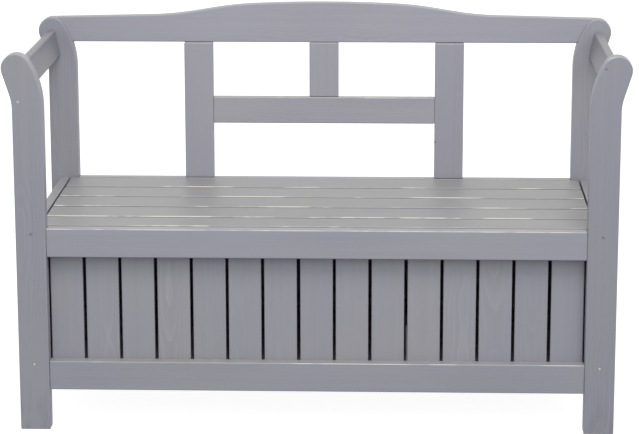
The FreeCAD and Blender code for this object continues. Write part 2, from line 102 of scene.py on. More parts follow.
class Tree:
    def __init__(self, nodeTree):
        self.nodeTree = nodeTree

    def node(self, kind, settings=None, sockets=None, out=0):
        made = self.nodeTree.nodes.new(kind)
        for key, value in (settings or {}).items():
            setattr(made, key, value)
        for key, value in (sockets or {}).items():
            if isinstance(value, Wire):
                self.nodeTree.links.new(value.socket, made.inputs[key])
            else:
                made.inputs[key].default_value = value
        return Wire(self, made.outputs[out] if made.outputs else None)

    def vector(self, x, y, z):
        return self.node("ShaderNodeCombineXYZ", None, {"X": x, "Y": y, "Z": z})

    def vectorMaths(self, operation, *values, out=0):
        return self.node("ShaderNodeVectorMath", {"operation": operation}, dict(enumerate(values)), out)

    def scaled(self, value, factor):
        return self.node("ShaderNodeVectorMath", {"operation": "SCALE"}, {0: value, "Scale": factor})

    def split(self, vector):                    # its X; the same node's outputs give Y and Z
        return self.node("ShaderNodeSeparateXYZ", None, {0: vector})

    def noise(self, place, scale, detail=2.0, roughness=0.5, seed=0.0):
        sockets = {"Vector": place, "W": seed, "Scale": scale, "Detail": detail, "Roughness": roughness}
        return self.node("ShaderNodeTexNoise", {"noise_dimensions": "4D"}, sockets)

    def mixed(self, factor, first, second, blend="MIX"):
        settings = {"data_type": "RGBA", "blend_type": blend}
        return self.node("ShaderNodeMix", settings, {0: factor, 6: first, 7: second}, out=2)


def linear(red, green, blue):                   # a colour written as it looks on a screen, 0 to 255
    values = [channel / 255 for channel in (red, green, blue)]
    return (*[v / 12.92 if v <= 0.04045 else ((v + 0.055) / 1.055) ** 2.4 for v in values], 1.0)


# The paint and the wood under it
paintLook = {
    "cool": linear(157, 156, 169),              # the lilac side of the grey
    "warm": linear(164, 162, 162),              # where the coat is thinner; also the colour of the painted warm top light and highlight
    "worn": linear(218, 216, 209),              # pale undercoat on a rubbed arris
    "nearFloorDark": linear(112, 110, 116),             # darker patches near the floor
    "gapShade": linear(72, 71, 80),              # painted shade down in the gaps of the seat and under the arrises
    "ringPitch": 0.0052,                        # from one growth ring to the next
    "pithDepth": 0.034,                         # how far behind the face the heart of the log lies
    "drift": 0.05,                              # how far the heart wanders along a board
    "driftAlong": 1.1,                          # turns of that wandering per metre
    "pithSpread": 0.02,                         # how much that depth differs from board to board
    "swirl": 0.045,                             # how far the rings swing out beside a knot
    "knotAlong": 4.5, "knotAcross": 7.0,        # knots per metre
    "rippleAlong": 9.0, "rippleAcross": 40.0, "rippleShare": 0.7,       # small waves in the rings
    "fibreAlong": 14.0, "fibreAcross": 900.0,   # fibres per metre
    "strokeAlong": 3.0, "strokeAcross": 260.0,  # brush marks per metre
    "bandAlong": 0.9, "bandAcross": 75.0,       # broad bands of thicker and thinner paint
    "figureAlong": 2.2, "figureAcross": 9.0,    # patches in which the rings show through
    "figureFrom": 0.46, "figureFull": 0.66, "figureLeast": 0.1,
    "ringSharpness": 3.0,
    "ringShow": 0.13, "fibreShow": 0.12, "strokeShow": 0.10, "bandShow": 0.08,      # parts of the lightness
    "boardSpread": 0.035,                       # how much the boards differ from each other
    "paintedTopWarmth": 0.6,                         # painted warm light: faces that look up are made warmer
    "relief": 0.0005,                           # depth of the grain under the paint
    "roughness": 0.46,
    "fibreRoughness": 0.16, "strokeRoughness": 0.12, "wornRoughness": 0.25,
    "ringHeight": 0.7, "fibreHeight": 0.35, "strokeHeight": 0.3,        # shares of the relief
    "patchScale": 3.2, "patchShare": 0.35, "toneSpread": 0.2, "toneBase": 0.15,     # lilac to warm
    "darkeningHigh": 0.11,                          # the darker patches reach this far up a post
}
arrisLook = {
    "flatFrom": 0.80, "flatFull": 0.985,        # largest part of a normal: on an arris, on a flat face
    "dashAlong": 7.0, "dashAcross": 14.0,       # worn dashes per metre
    "leastThreshold": 0.66, "thresholdDrop": 0.26,          # more wear: longer dashes
    "dashSoftness": 0.10,
    "stripNear": 0.0055, "stripFar": 0.0095,    # the rubbed strip along the front edge of a seat slat, which also gets the painted highlight
    "gapFrom": 0.0008, "gapFull": 0.0013,       # this far below a slat's face the painted gap shade begins
    "gapShadeStrength": 0.9, "undersideShadeStrength": 0.55,
}


def chance(tree, seed, turn):                   # a number from 0 to 1 that stays with its board
    if isinstance(seed, Wire):
        return tree.node("ShaderNodeTexWhiteNoise", {"noise_dimensions": "1D"}, {"W": seed + 17.3 * turn})
    return random.Random(f"board {seed} {turn}").random()


def growthRings(tree, along, first, second, seed):             # 0 to 1 across each ring of the log
    look = paintLook
    slow = tree.vector(along * look["driftAlong"], 0.0, 0.0)
    drift = look["drift"]
    wanderFirst = (tree.noise(slow, 1.0, 1.0, seed=seed) - 0.5) * drift
    wanderSecond = (tree.noise(slow, 1.3, 1.0, seed=seed + 5.1) - 0.5) * drift
    fromFirst = first + wanderFirst + (chance(tree, seed, 1) - 0.5) * drift
    fromSecond = second + wanderSecond + (chance(tree, seed, 2) * look["pithSpread"] + look["pithDepth"])
    radius = (fromFirst * fromFirst + fromSecond * fromSecond).root()
    across = look["knotAcross"]
    knots = tree.noise(tree.vector(along * look["knotAlong"], first * across, second * across), 1.0, 1.0,
                       seed=seed + 1.7)
    across = look["rippleAcross"]
    ripple = tree.noise(tree.vector(along * look["rippleAlong"], first * across, second * across), 1.0, 2.0,
                        seed=seed)
    radius = radius + (knots - 0.5) * look["swirl"]
    return (radius / look["ringPitch"] + ripple * look["rippleShare"]).fraction()


# Real wear on the arrises, a painted highlight on them and painted shade under them
def arrisWearAndPaintedLight(tree, normal, along, first, second, seed, wear, slatHalf):
    look = arrisLook
    face = tree.split(tree.vectorMaths("ABSOLUTE", normal))
    flattest = face.atLeast(face.output("Y")).atLeast(face.output("Z"))
    arris = flattest.ramp(look["flatFrom"], look["flatFull"], 1.0, 0.0)
    if slatHalf:                                # a seat slat is rubbed along its front edge too, and gets the painted highlight there
        halfWide, halfThick = slatHalf
        front = (first + halfWide).ramp(look["stripNear"], look["stripFar"], 1.0, 0.0)
        arris = arris.atLeast(front * (halfThick - second).ramp(look["gapFrom"], look["gapFull"], 1.0, 0.0))
    lift = tree.split(normal).output("Z")
    upward = lift.ramp(-0.2, 0.5, 0.5, 1.0) * lift.ramp(-0.35, -0.1)
    across = look["dashAcross"]
    dashes = tree.noise(tree.vector(along * look["dashAlong"], first * across, second * across), 1.0, 3.0,
                        0.7, seed=seed + 3.9)
    threshold = look["leastThreshold"] - look["thresholdDrop"] * wear
    worn = dashes.ramp(threshold, threshold + look["dashSoftness"]) * arris * upward * min(1.0, 0.4 + wear)
    # painted highlight: the arrises are lightened, most where they face up and where they are worn
    paintedHighlight = arris * (0.16 + wear * 0.3 + dashes * 0.25) * upward
    # painted shade: arrises that face down are darkened
    undersideShade = arris * lift.ramp(-0.6, -0.2, 1.0, 0.0)
    return worn, paintedHighlight, undersideShade


def paintedPine(name, grain="X", centre=None, seed=0.0, wear=0.35, warmth=0.3, shade=1.0,
                darkerNearFloor=False, marks=(), slatHalf=None):
    material = bpy.data.materials.new(name)
    material.use_nodes = True
    material.node_tree.nodes.clear()
    tree = Tree(material.node_tree)
    look = paintLook
    coordinates = tree.node("ShaderNodeTexCoord", out="Object")
    normal = coordinates.output("Normal")
    if centre is None:                          # boards that carry their own place and number
        seed = tree.node("ShaderNodeAttribute", {"attribute_name": "boardNumber"}, out="Fac")
        place = tree.node("ShaderNodeAttribute", {"attribute_name": "boardPlace"}, out="Vector")
    else:
        place = tree.vectorMaths("SUBTRACT", coordinates, tuple(centre))
    split = tree.split(place)
    order = {"X": ("X", "Y", "Z"), "Y": ("Y", "X", "Z"), "Z": ("Z", "X", "Y")}[grain]
    along, first, second = [split.output(letter) for letter in order]

    # Grain, brush marks and the patches in which the grain shows
    ridges = growthRings(tree, along, first, second, seed) ** look["ringSharpness"]
    fibres = tree.noise(tree.vector(along * look["fibreAlong"], first * look["fibreAcross"],
                                    second * look["fibreAcross"]), 1.0, 3.0, 0.6, seed=seed)
    strokes = tree.noise(tree.vector(along * look["strokeAlong"], first * look["strokeAcross"],
                                     second * look["strokeAcross"]), 1.0, 2.0, seed=seed + 2.3)
    bands = tree.noise(tree.vector(along * look["bandAlong"], first * look["bandAcross"],
                                   second * look["bandAcross"]), 1.0, 2.0, seed=seed + 6.1)
    across = look["figureAcross"]
    figure = tree.noise(tree.vector(along * look["figureAlong"], first * across, second * across), 1.0, 1.0,
                        seed=seed + 8.7)
    figureShown = figure.ramp(look["figureFrom"], look["figureFull"], look["figureLeast"], 1.0)

    # Colour: lilac and warm grey, pale ridges, dark pores
    patches = tree.noise(coordinates, look["patchScale"], 2.0, seed=seed)
    lift = tree.split(normal).output("Z")
    tone = patches.ramp(0.3, 0.7) * look["patchShare"] + (warmth - look["toneBase"])
    tone = tone + (chance(tree, seed, 3) - 0.5) * look["toneSpread"]
    # painted warm top light on the faces that look up
    tone = tone + lift.ramp(0.6, 0.95) * look["paintedTopWarmth"]
    tone = tone.maths("MULTIPLY", tone, 1.0, clamp=True)
    paint = tree.mixed(tone, look["cool"], look["warm"])
    lightness = (shade + (ridges - 0.25) * figureShown * look["ringShow"]
                 + (fibres - 0.5) * look["fibreShow"] + (strokes - 0.5) * look["strokeShow"]
                 + (bands - 0.5) * look["bandShow"]
                 + (chance(tree, seed, 4) - 0.5) * look["boardSpread"])
    paint = tree.scaled(paint, lightness)

    worn, paintedHighlight, undersideShade = arrisWearAndPaintedLight(tree, normal, along, first, second, seed, wear, slatHalf)
    # the painted highlight on the arrises, screened over the paint
    paint = tree.mixed(paintedHighlight * 0.5, paint, look["warm"], "SCREEN")
    paint = tree.mixed(worn, paint, look["worn"])
    # painted shade on the arrises that face down
    paint = tree.mixed(undersideShade * arrisLook["undersideShadeStrength"], paint, look["gapShade"])
    if slatHalf:                                # painted shade in the gaps: the sides of a seat slat are darkened, the face below is not
        depth = (slatHalf[1] - second).ramp(arrisLook["gapFrom"], arrisLook["gapFull"])
        paint = tree.mixed(depth * lift.ramp(-0.6, -0.3) * arrisLook["gapShadeStrength"], paint, look["gapShade"])
    # posts are darker in patches towards the floor
    if darkerNearFloor:
        height = tree.split(coordinates).output("Z")
        darkPatches = tree.noise(tree.vectorMaths("MULTIPLY", coordinates, (60.0, 60.0, 14.0)), 1.0, 3.0,
                          seed=seed)
        darkening = height.ramp(0.0, look["darkeningHigh"], 1.0, 0.0) * darkPatches.ramp(0.4, 0.75) * 0.5
        paint = tree.mixed(darkening, paint, look["nearFloorDark"])
    for spot, size, colour in marks:            # a filled nail hole or a small bruise
        distance = tree.vectorMaths("DISTANCE", coordinates, spot, out="Value")
        paint = tree.mixed(distance.ramp(size * 0.5, size, 1.0, 0.0), paint, colour)

    roughness = (look["roughness"] + (fibres - 0.5) * look["fibreRoughness"]
                 + (strokes - 0.5) * look["strokeRoughness"] + worn * look["wornRoughness"])
    height = (ridges * figureShown * look["ringHeight"] + fibres * look["fibreHeight"]
              + strokes * look["strokeHeight"])
    bump = tree.node("ShaderNodeBump", None, {"Height": height, "Strength": 0.8,
                                              "Distance": look["relief"]})
    surface = tree.node("ShaderNodeBsdfPrincipled", None, {
        "Base Color": paint, "Roughness": roughness, "Normal": bump, "IOR": 1.46})
    tree.node("ShaderNodeOutputMaterial", None, {"Surface": surface})
    return material


# Plain metal for the hinges and the screws
metalLook = {
    "zinc": linear(176, 177, 180),
    "shadow": linear(92, 93, 98),
    # painted shade down in a screw's recess
    "recess": linear(58, 57, 62),
    "bright": linear(240, 240, 236),
    "rubbed": linear(190, 189, 192),            # a head whose paint is nearly gone
    "dullness": 0.42,
}


def zincPlate(name):
    material = bpy.data.materials.new(name)
    material.use_nodes = True
    material.node_tree.nodes.clear()
    tree = Tree(material.node_tree)
    coordinates = tree.node("ShaderNodeTexCoord", out="Object")
    drawn = tree.noise(tree.vectorMaths("MULTIPLY", coordinates, (40.0, 900.0, 900.0)), 1.0, 3.0)
    spangle = tree.noise(coordinates, 240.0, 2.0, seed=3.0)
    colour = tree.mixed(spangle.ramp(0.35, 0.7) * 0.35, metalLook["zinc"], metalLook["shadow"])
    roughness = metalLook["dullness"] + (drawn - 0.5) * 0.3
    bump = tree.node("ShaderNodeBump", None, {"Height": drawn, "Strength": 0.4, "Distance": 0.0001})
    surface = tree.node("ShaderNodeBsdfPrincipled", None, {
        "Base Color": colour, "Roughness": roughness, "Metallic": 1.0, "Normal": bump})
    tree.node("ShaderNodeOutputMaterial", None, {"Surface": surface})
    return material


def screwFinish(name, recessColour, headTone):
    material = bpy.data.materials.new(name)     # a painted head, bare metal in its recess, where a dark recess colour is painted shade
    material.use_nodes = True
    material.node_tree.nodes.clear()
    tree = Tree(material.node_tree)
    coordinates = tree.node("ShaderNodeTexCoord", out="Object")
    bare = tree.node("ShaderNodeAttribute", {"attribute_name": "bareMetal"}, out="Fac")
    blotches = tree.noise(coordinates, 900.0, 2.0)
    painted = tree.scaled(tree.mixed(blotches.ramp(0.3, 0.8), headTone, paintLook["warm"]), 0.92)
    colour = tree.mixed(bare, painted, recessColour)
    roughness = 0.5 + (blotches - 0.5) * 0.3 - bare * 0.1
    bump = tree.node("ShaderNodeBump", None, {"Height": blotches, "Strength": 0.3, "Distance": 0.0001})
    surface = tree.node("ShaderNodeBsdfPrincipled", None, {
        "Base Color": colour, "Roughness": roughness, "Normal": bump, "Metallic": bare * 0.6})
    tree.node("ShaderNodeOutputMaterial", None, {"Surface": surface})
    return material


# Geometry Nodes: a row of boards with rounded arrises
def boardRowTree():
    group = bpy.data.node_groups.new("boardRow", "GeometryNodeTree")
    face = group.interface
    face.new_socket("Geometry", in_out="INPUT", socket_type="NodeSocketGeometry")
    face.new_socket("Count", in_out="INPUT", socket_type="NodeSocketInt")
    face.new_socket("Board Size", in_out="INPUT", socket_type="NodeSocketVector")
    face.new_socket("First Board", in_out="INPUT", socket_type="NodeSocketVector")
    face.new_socket("Step", in_out="INPUT", socket_type="NodeSocketVector")
    face.new_socket("Rounding", in_out="INPUT", socket_type="NodeSocketFloat")
    face.new_socket("Slack", in_out="INPUT", socket_type="NodeSocketVector")
    face.new_socket("Seed", in_out="INPUT", socket_type="NodeSocketInt")
    face.new_socket("Material", in_out="INPUT", socket_type="NodeSocketMaterial")
    face.new_socket("Geometry", in_out="OUTPUT", socket_type="NodeSocketGeometry")
    tree = Tree(group)
    given = tree.node("NodeGroupInput", out="Count")
    sideVertices = 12                           # an even number: five facets to each half arris
    innermost = 1.0 / (sideVertices - 1)
    cube = tree.node("GeometryNodeMeshCube", None, {
        "Size": (2.0, 2.0, 2.0), "Vertices X": sideVertices, "Vertices Y": sideVertices,
        "Vertices Z": sideVertices})
    position = tree.node("GeometryNodeInputPosition")
    side = tree.vectorMaths("SIGN", position)
    spread = tree.vectorMaths("SUBTRACT", tree.vectorMaths("ABSOLUTE", position), (innermost,) * 3)
    angles = tree.scaled(spread, math.pi / 4 / (1 - innermost))
    outward = tree.vectorMaths("NORMALIZE", tree.vectorMaths("TANGENT", angles))
    half = tree.scaled(given.output("Board Size"), 0.5)
    roundingVector = tree.vector(given.output("Rounding"), given.output("Rounding"),
                                 given.output("Rounding"))
    core = tree.vectorMaths("SUBTRACT", half, roundingVector)
    corner = tree.vectorMaths("ADD", core, tree.scaled(outward, given.output("Rounding")))
    boardPlace = tree.vectorMaths("MULTIPLY", corner, side)
    board = tree.node("GeometryNodeSetPosition", None, {"Geometry": cube, "Position": boardPlace})
    board = tree.node("GeometryNodeStoreNamedAttribute", {"data_type": "FLOAT_VECTOR", "domain": "POINT"},
                      {"Geometry": board, "Name": "boardPlace",
                       "Value": tree.node("GeometryNodeInputPosition")})
    points = tree.node("GeometryNodeMeshLine", None, {
        "Count": given, "Start Location": given.output("First Board"), "Offset": given.output("Step")})
    number = tree.node("GeometryNodeInputIndex")
    slack = tree.node("FunctionNodeRandomValue", {"data_type": "FLOAT_VECTOR"}, {
        "Min": tree.scaled(given.output("Slack"), -1.0), "Max": given.output("Slack"), "ID": number,
        "Seed": given.output("Seed")})
    points = tree.node("GeometryNodeSetPosition", None, {"Geometry": points, "Offset": slack})
    row = tree.node("GeometryNodeInstanceOnPoints", None, {"Points": points, "Instance": board})
    row = tree.node("GeometryNodeStoreNamedAttribute", {"data_type": "FLOAT", "domain": "INSTANCE"},
                    {"Geometry": row, "Name": "boardNumber",
                     "Value": number + given.output("Seed") * 31.0})
    whole = tree.node("GeometryNodeRealizeInstances", None, {"Geometry": row})
    painted = tree.node("GeometryNodeSetMaterial", None, {"Geometry": whole,
                                                          "Material": given.output("Material")})
    tree.node("NodeGroupOutput", None, {"Geometry": painted})
    return group


def madeByNodes(name, group, values, base=None):   # runs a tree once and keeps its result as a plain mesh
    worker = bpy.data.objects.new(f"{name}Worker", base or bpy.data.meshes.new(f"{name}Seed"))
    bpy.context.scene.collection.objects.link(worker)
    modifier = worker.modifiers.new("nodes", "NODES")
    modifier.node_group = group
    for item in group.interface.items_tree:
        if item.in_out == "INPUT" and item.name in values:
            modifier[item.identifier] = values[item.name]
    bpy.context.view_layer.update()
    evaluated = worker.evaluated_get(bpy.context.evaluated_depsgraph_get())
    mesh = bpy.data.meshes.new_from_object(evaluated)
    mesh.name = name
    worker.modifiers.remove(modifier)
    bpy.data.objects.remove(worker)
    piece = bpy.data.objects.new(name, mesh)
    bpy.context.scene.collection.objects.link(piece)
    return piece


rowLook = {
    "wallRounding": 0.0025,                     # as the sawn edges of the frame
    "seatRounding": 0.005,                      # the seat's slats are softer
    "slackAcross": 0.0003,                      # boards sit a little unevenly
    "sideBoards": 7,
    "seeds": {"front": 11, "left": 13, "right": 14, "seatFront": 21, "seat": 22},
}


def boardRow(name, tree, material, rounding, low, high, count, width, runs, seed, body, nodes):
    lengths = high - low                        # the row fills this box, board beside board
    axis = "XYZ".index(runs)
    size = Vector(lengths)
    size[axis] = width
    step = Vector((0.0, 0.0, 0.0))
    if count > 1:
        step[axis] = (lengths[axis] - width) / (count - 1)
    firstBoard = (low + high) / 2
    firstBoard[axis] = low[axis] + width / 2
    slack = Vector((0.0, 0.0, 0.0))
    slack[axis] = rowLook["slackAcross"] if count > 1 else 0.0
    piece = madeByNodes(name, tree, {
        "Count": count, "Board Size": size, "First Board": firstBoard, "Step": step,
        "Rounding": rounding, "Slack": slack, "Seed": seed, "Material": material})
    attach(piece, body)
    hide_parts(*nodes)


# the seat's warmth is partly painted warm light from above
seatLook = {"warmth": 0.7, "shade": 0.87, "frontWear": 0.45, "wear": 0.7}
chestBoardLook = {"warmth": 0.35, "shade": 0.95, "wear": 0.1}


def seatSlatPaint(name, size, wear):
    return paintedPine(name, "X", wear=wear, warmth=seatLook["warmth"], shade=seatLook["shade"],
                       slatHalf=(size.y / 2, size.z / 2))


def slatsAndBoards():
    tree = boardRowTree()
    frontNodes = sorted(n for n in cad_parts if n.startswith("front_slat_"))
    count = len(frontNodes)
    firstLow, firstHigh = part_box(frontNodes[0])
    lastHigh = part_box(frontNodes[-1])[1]
    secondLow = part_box(frontNodes[1])[0]
    width = firstHigh.x - firstLow.x
    gap = secondLow.x - firstHigh.x
    upright = paintedPine("chestBoardPaint", "Z", **chestBoardLook)
    rounding = rowLook["wallRounding"]
    seeds = rowLook["seeds"]
    boardRow("chestFrontBoards", tree, upright, rounding, firstLow, lastHigh, count, width, "X",
             seeds["front"], "frame", frontNodes)
    count = rowLook["sideBoards"]
    for side in ("left", "right"):
        low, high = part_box(f"{side}_side_slats")
        sideWidth = (high.y - low.y - (count - 1) * gap) / count
        boardRow(f"chest{side.title()}Boards", tree, upright, rounding, low, high, count, sideWidth,
                 "Y", seeds[side], "frame", [f"{side}_side_slats"])
    low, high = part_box("lid_slat_1")
    seatPaint = seatSlatPaint("seatFrontSlatPaint", high - low, seatLook["frontWear"])
    rounding = rowLook["seatRounding"]
    wideNodes = [f"lid_slat_{k}" for k in range(2, 6)]
    boardRow("seatFrontSlat", tree, seatPaint, rounding, low, high, 1, high.y - low.y, "Y",
             seeds["seatFront"], "lid", ["lid_slat_1"])
    low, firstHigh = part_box(wideNodes[0])
    seatPaint = seatSlatPaint("seatSlatPaint", firstHigh - low, seatLook["wear"])
    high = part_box(wideNodes[-1])[1]
    boardRow("seatSlats", tree, seatPaint, rounding, low, high, len(wideNodes), firstHigh.y - low.y,
             "Y", seeds["seat"], "lid", wideNodes)
    print("boards: five rows of slats")


# Geometry Nodes: the same screw at every point of a row
screwLook = {
    "sides": 24,
    "threadTurns": 14,                          # ridges along the shank
    "recessShare": 0.52,                        # half width of the cross recess against the head
    "recessDepth": 0.0011,
}


def screwMesh(name, headRadius, headHigh, shankRadius, length, sunk):
    build = bmesh.new()                         # the axis is Z, the head's face at 0, the shank below
    bare = build.verts.layers.float.new("bareMetal")
    sides = screwLook["sides"]
    armHalf = headRadius * 0.16
    armReach = headRadius * screwLook["recessShare"]
    crossCorner = [(armReach, armHalf), (armHalf, armHalf), (armHalf, armReach)]
    cross = []
    for quarter in range(4):
        turn = Matrix.Rotation(quarter * math.pi / 2, 2)
        cross += [turn @ Vector(point) for point in crossCorner]
    rim = [build.verts.new((p.x, p.y, 0.0)) for p in cross]
    floorRing = [build.verts.new((p.x * 0.7, p.y * 0.7, -screwLook["recessDepth"])) for p in cross]
    tip = build.verts.new((0.0, 0.0, -screwLook["recessDepth"] * 1.3))
    for v in floorRing + [tip]:
        v[bare] = 1.0
    domeHigh = 0.0 if sunk else -headHigh * 0.25
    profile = [(headRadius * 0.9, domeHigh * 0.5), (headRadius, domeHigh - headHigh * 0.15),
               (headRadius, -headHigh), (shankRadius, -headHigh - 0.00001)]
    turns = screwLook["threadTurns"]
    threadLength = length - headHigh
    for k in range(turns):
        z = -headHigh - threadLength * (k + 0.5) / turns
        profile += [(shankRadius * 0.78, z), (shankRadius, z - threadLength * 0.2 / turns)]
    profile.append((shankRadius * 0.5, -length))
    rings = []
    for radius, z in profile:
        ring = []
        for k in range(sides):
            angle = 2 * math.pi * k / sides
            ring.append(build.verts.new((radius * math.cos(angle), radius * math.sin(angle), z)))
        rings.append(ring)
    for upper, lower in zip(rings, rings[1:]):
        for k in range(sides):
            build.faces.new((upper[k], lower[k], lower[(k + 1) % sides], upper[(k + 1) % sides]))
    build.faces.new(list(reversed(rings[-1])))
    for k in range(len(cross)):
        after = (k + 1) % len(cross)
        build.faces.new((rim[k], floorRing[k], floorRing[after], rim[after]))
        build.faces.new((floorRing[k], tip, floorRing[after]))
    edges = [build.edges.get((rim[k], rim[(k + 1) % len(cross)])) for k in range(len(cross))]
    edges += [build.edges.get((rings[0][k], rings[0][(k + 1) % sides])) for k in range(sides)]
    bmesh.ops.triangle_fill(build, edges=edges, use_beauty=True)
    bmesh.ops.recalc_face_normals(build, faces=build.faces)
    mesh = bpy.data.meshes.new(name)
    build.to_mesh(mesh)
    build.free()
    return mesh


def screwSetTree():
    group = bpy.data.node_groups.new("screwSet", "GeometryNodeTree")
    face = group.interface
    face.new_socket("Geometry", in_out="INPUT", socket_type="NodeSocketGeometry")
    face.new_socket("Screw", in_out="INPUT", socket_type="NodeSocketObject")
    face.new_socket("Seed", in_out="INPUT", socket_type="NodeSocketInt")
    face.new_socket("Material", in_out="INPUT", socket_type="NodeSocketMaterial")
    face.new_socket("Geometry", in_out="OUTPUT", socket_type="NodeSocketGeometry")
    tree = Tree(group)
    given = tree.node("NodeGroupInput", out="Screw")
    screw = tree.node("GeometryNodeObjectInfo", {"transform_space": "ORIGINAL"}, {"Object": given},
                      out="Geometry")
    facing = tree.node("GeometryNodeInputNamedAttribute", {"data_type": "FLOAT_VECTOR"},
                       {"Name": "facing"})
    aim = tree.node("FunctionNodeAlignRotationToVector", {"axis": "Z"}, {"Vector": facing})
    spin = tree.node("FunctionNodeRandomValue", {"data_type": "FLOAT"}, {
        "Min": 0.0, "Max": math.pi / 2, "ID": tree.node("GeometryNodeInputIndex"),
        "Seed": given.output("Seed")}, out=1)
    turned = tree.node("FunctionNodeRotateRotation", {"rotation_space": "LOCAL"}, {
        "Rotation": aim, "Rotate By": tree.node("FunctionNodeAxisAngleToRotation", None, {
            "Axis": (0.0, 0.0, 1.0), "Angle": spin})})
    placed = tree.node("GeometryNodeInstanceOnPoints", None, {
        "Points": given.output("Geometry"), "Instance": screw, "Rotation": turned})
    whole = tree.node("GeometryNodeRealizeInstances", None, {"Geometry": placed})
    finished = tree.node("GeometryNodeSetMaterial", None, {"Geometry": whole,
                                                           "Material": given.output("Material")})
    tree.node("NodeGroupOutput", None, {"Geometry": finished})
    return group


def screwSet(name, group, screw, material, places, facing, seed, body, nodes):
    base = bpy.data.meshes.new(f"{name}Points")
    base.from_pydata([tuple(p) for p in places], [], [])
    direction = base.attributes.new("facing", "FLOAT_VECTOR", "POINT")
    for k, value in enumerate(facing):
        direction.data[k].vector = value
    sample = bpy.data.objects.new(f"{name}Sample", screw)
    bpy.context.scene.collection.objects.link(sample)
    piece = madeByNodes(name, group, {"Screw": sample, "Seed": seed, "Material": material}, base)
    bpy.data.objects.remove(sample)
    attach(piece, body)
    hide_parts(*nodes)


def screwSizes(look):
    return [look[key] for key in ("headRadius", "headHigh", "shankRadius", "length")]


frameScrew = {
    "headRadius": 0.004, "headHigh": 0.0027, "shankRadius": 0.0025, "length": 0.0797,
    "heights": {"upper": 0.424, "lower": 0.143},
}
hingeScrew = {"headRadius": 0.003, "headHigh": 0.00075, "shankRadius": 0.0016, "length": 0.01475}


def screws():
    tree = screwSetTree()
    low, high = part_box("frame_screws")
    reach = high.x - frameScrew["headRadius"]
    mesh = screwMesh("frameScrew", *screwSizes(frameScrew), sunk=True)
    finishes = {
        "upper": screwFinish("screwUnderPaint", metalLook["recess"], paintLook["cool"]),
        "lower": screwFinish("screwRubbedBright", metalLook["bright"], metalLook["rubbed"]),
    }
    for seed, (level, z) in enumerate(frameScrew["heights"].items(), start=31):
        places, facing = [], []
        for x in (-reach, reach):
            for y, way in ((low.y, -1.0), (high.y, 1.0)):
                places.append(Vector((x, y, z)))
                facing.append((0.0, way, 0.0))
        screwSet(f"{level}FrameScrews", tree, mesh, finishes[level], places, facing, seed, "frame",
                 ["frame_screws"])
    mesh = screwMesh("hingeScrew", *screwSizes(hingeScrew), sunk=False)
    plain = screwFinish("hingeScrewSteel", metalLook["recess"], metalLook["zinc"])
    for seed, (node, body, way) in enumerate((("frame_hinge_screws", "frame", -1.0),
                                              ("lid_hinge_screws", "lid", 1.0)), start=41):
        low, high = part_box(node)
        face = low.y if way < 0 else high.y
        centreLine = (low.z + high.z) / 2
        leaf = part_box("right_hinge_frame_leaf")
        middle = (leaf[0].x + leaf[1].x) / 2
        pitch = (high.x - hingeScrew["headRadius"]) - middle
        places = [Vector((side * middle + k * pitch, face, centreLine)) for side in (-1, 1)
                  for k in (-1, 0, 1)]
        screwSet(f"{body}HingeScrews", tree, mesh, plain, places, [(0.0, way, 0.0)] * len(places), seed,
                 body, [node])
    print("screws: eight in the frame, twelve in the hinges")


# Paint and metal on the pieces that the frame already shapes
boardGrain = {                                  # grain, wear on the arrises, warmth, shade; the shade is partly painted light and shade, set to how brightly each piece is lit
    "front_left_post": ("Z", 0.25, 0.35, 0.905), "front_right_post": ("Z", 0.25, 0.25, 0.88),
    "rear_left_post": ("Z", 0.2, 0.2, 0.86), "rear_right_post": ("Z", 0.2, 0.25, 0.955),
    "left_arm": ("Y", 0.1, 0.3, 0.67), "right_arm": ("Y", 0.1, 0.3, 0.69),
    "crest_rail": ("X", 0.15, 0.3, 1.035),
    "left_upright": ("Z", 0.1, 0.25, 1.03), "right_upright": ("Z", 0.1, 0.2, 0.99),
    "middle_rail": ("X", 0.5, 0.3, 1.05), "centre_muntin": ("Z", 0.1, 0.3, 1.02),
    "front_seat_rail": ("X", 0.95, 0.3, 1.0), "front_bottom_rail": ("X", 0.65, 0.3, 0.95),
    "rear_seat_rail": ("X", 0.1, 0.3, 1.0), "rear_bottom_rail": ("X", 0.1, 0.3, 1.0),
    "left_seat_rail": ("Y", 0.3, 0.3, 0.90), "right_seat_rail": ("Y", 0.3, 0.3, 0.92),
    "left_bottom_rail": ("Y", 0.1, 0.3, 0.97), "right_bottom_rail": ("Y", 0.1, 0.3, 0.97),
    "left_lid_cleat": ("Y", 0.0, 0.3, 1.0), "right_lid_cleat": ("Y", 0.0, 0.3, 1.0),
    "front_floor_cleat": ("X", 0.0, 0.3, 1.0), "rear_floor_cleat": ("X", 0.0, 0.3, 1.0),
    "floor_boards": ("Y", 0.0, 0.3, 1.0), "rear_panel": ("X", 0.0, 0.3, 1.0),
    "left_lid_batten": ("Y", 0.0, 0.3, 1.0), "middle_lid_batten": ("Y", 0.0, 0.3, 1.0),
    "right_lid_batten": ("Y", 0.0, 0.3, 1.0),
}
smallMarks = {                                  # place, radius and colour: a plug, a bruise, a nick
    "front_left_post": [((-0.612, -0.283, 0.703), 0.0038, linear(200, 188, 183))],
    "front_right_post": [((0.591, -0.283, 0.776), 0.0042, linear(128, 127, 142))],
    "right_upright": [((0.2515, 0.249, 0.520), 0.0040, linear(96, 94, 108))],
}


def finishFrameNodes():
    zinc = zincPlate("hingeZinc")
    for number, (name, (grain, wear, warmth, shade)) in enumerate(sorted(boardGrain.items()), start=1):
        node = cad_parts[name]
        low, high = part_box(name)
        material = paintedPine(f"{name}_paint", grain, (low + high) / 2, float(number), wear, warmth,
                               shade, name.endswith("_post"), smallMarks.get(name, ()))
        node.material_slots[0].material = material
    for name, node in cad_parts.items():
        if "hinge" in name and "screws" not in name:
            node.material_slots[0].material = zinc
    print("finish: paint on", len(boardGrain), "nodes, zinc on the hinges")


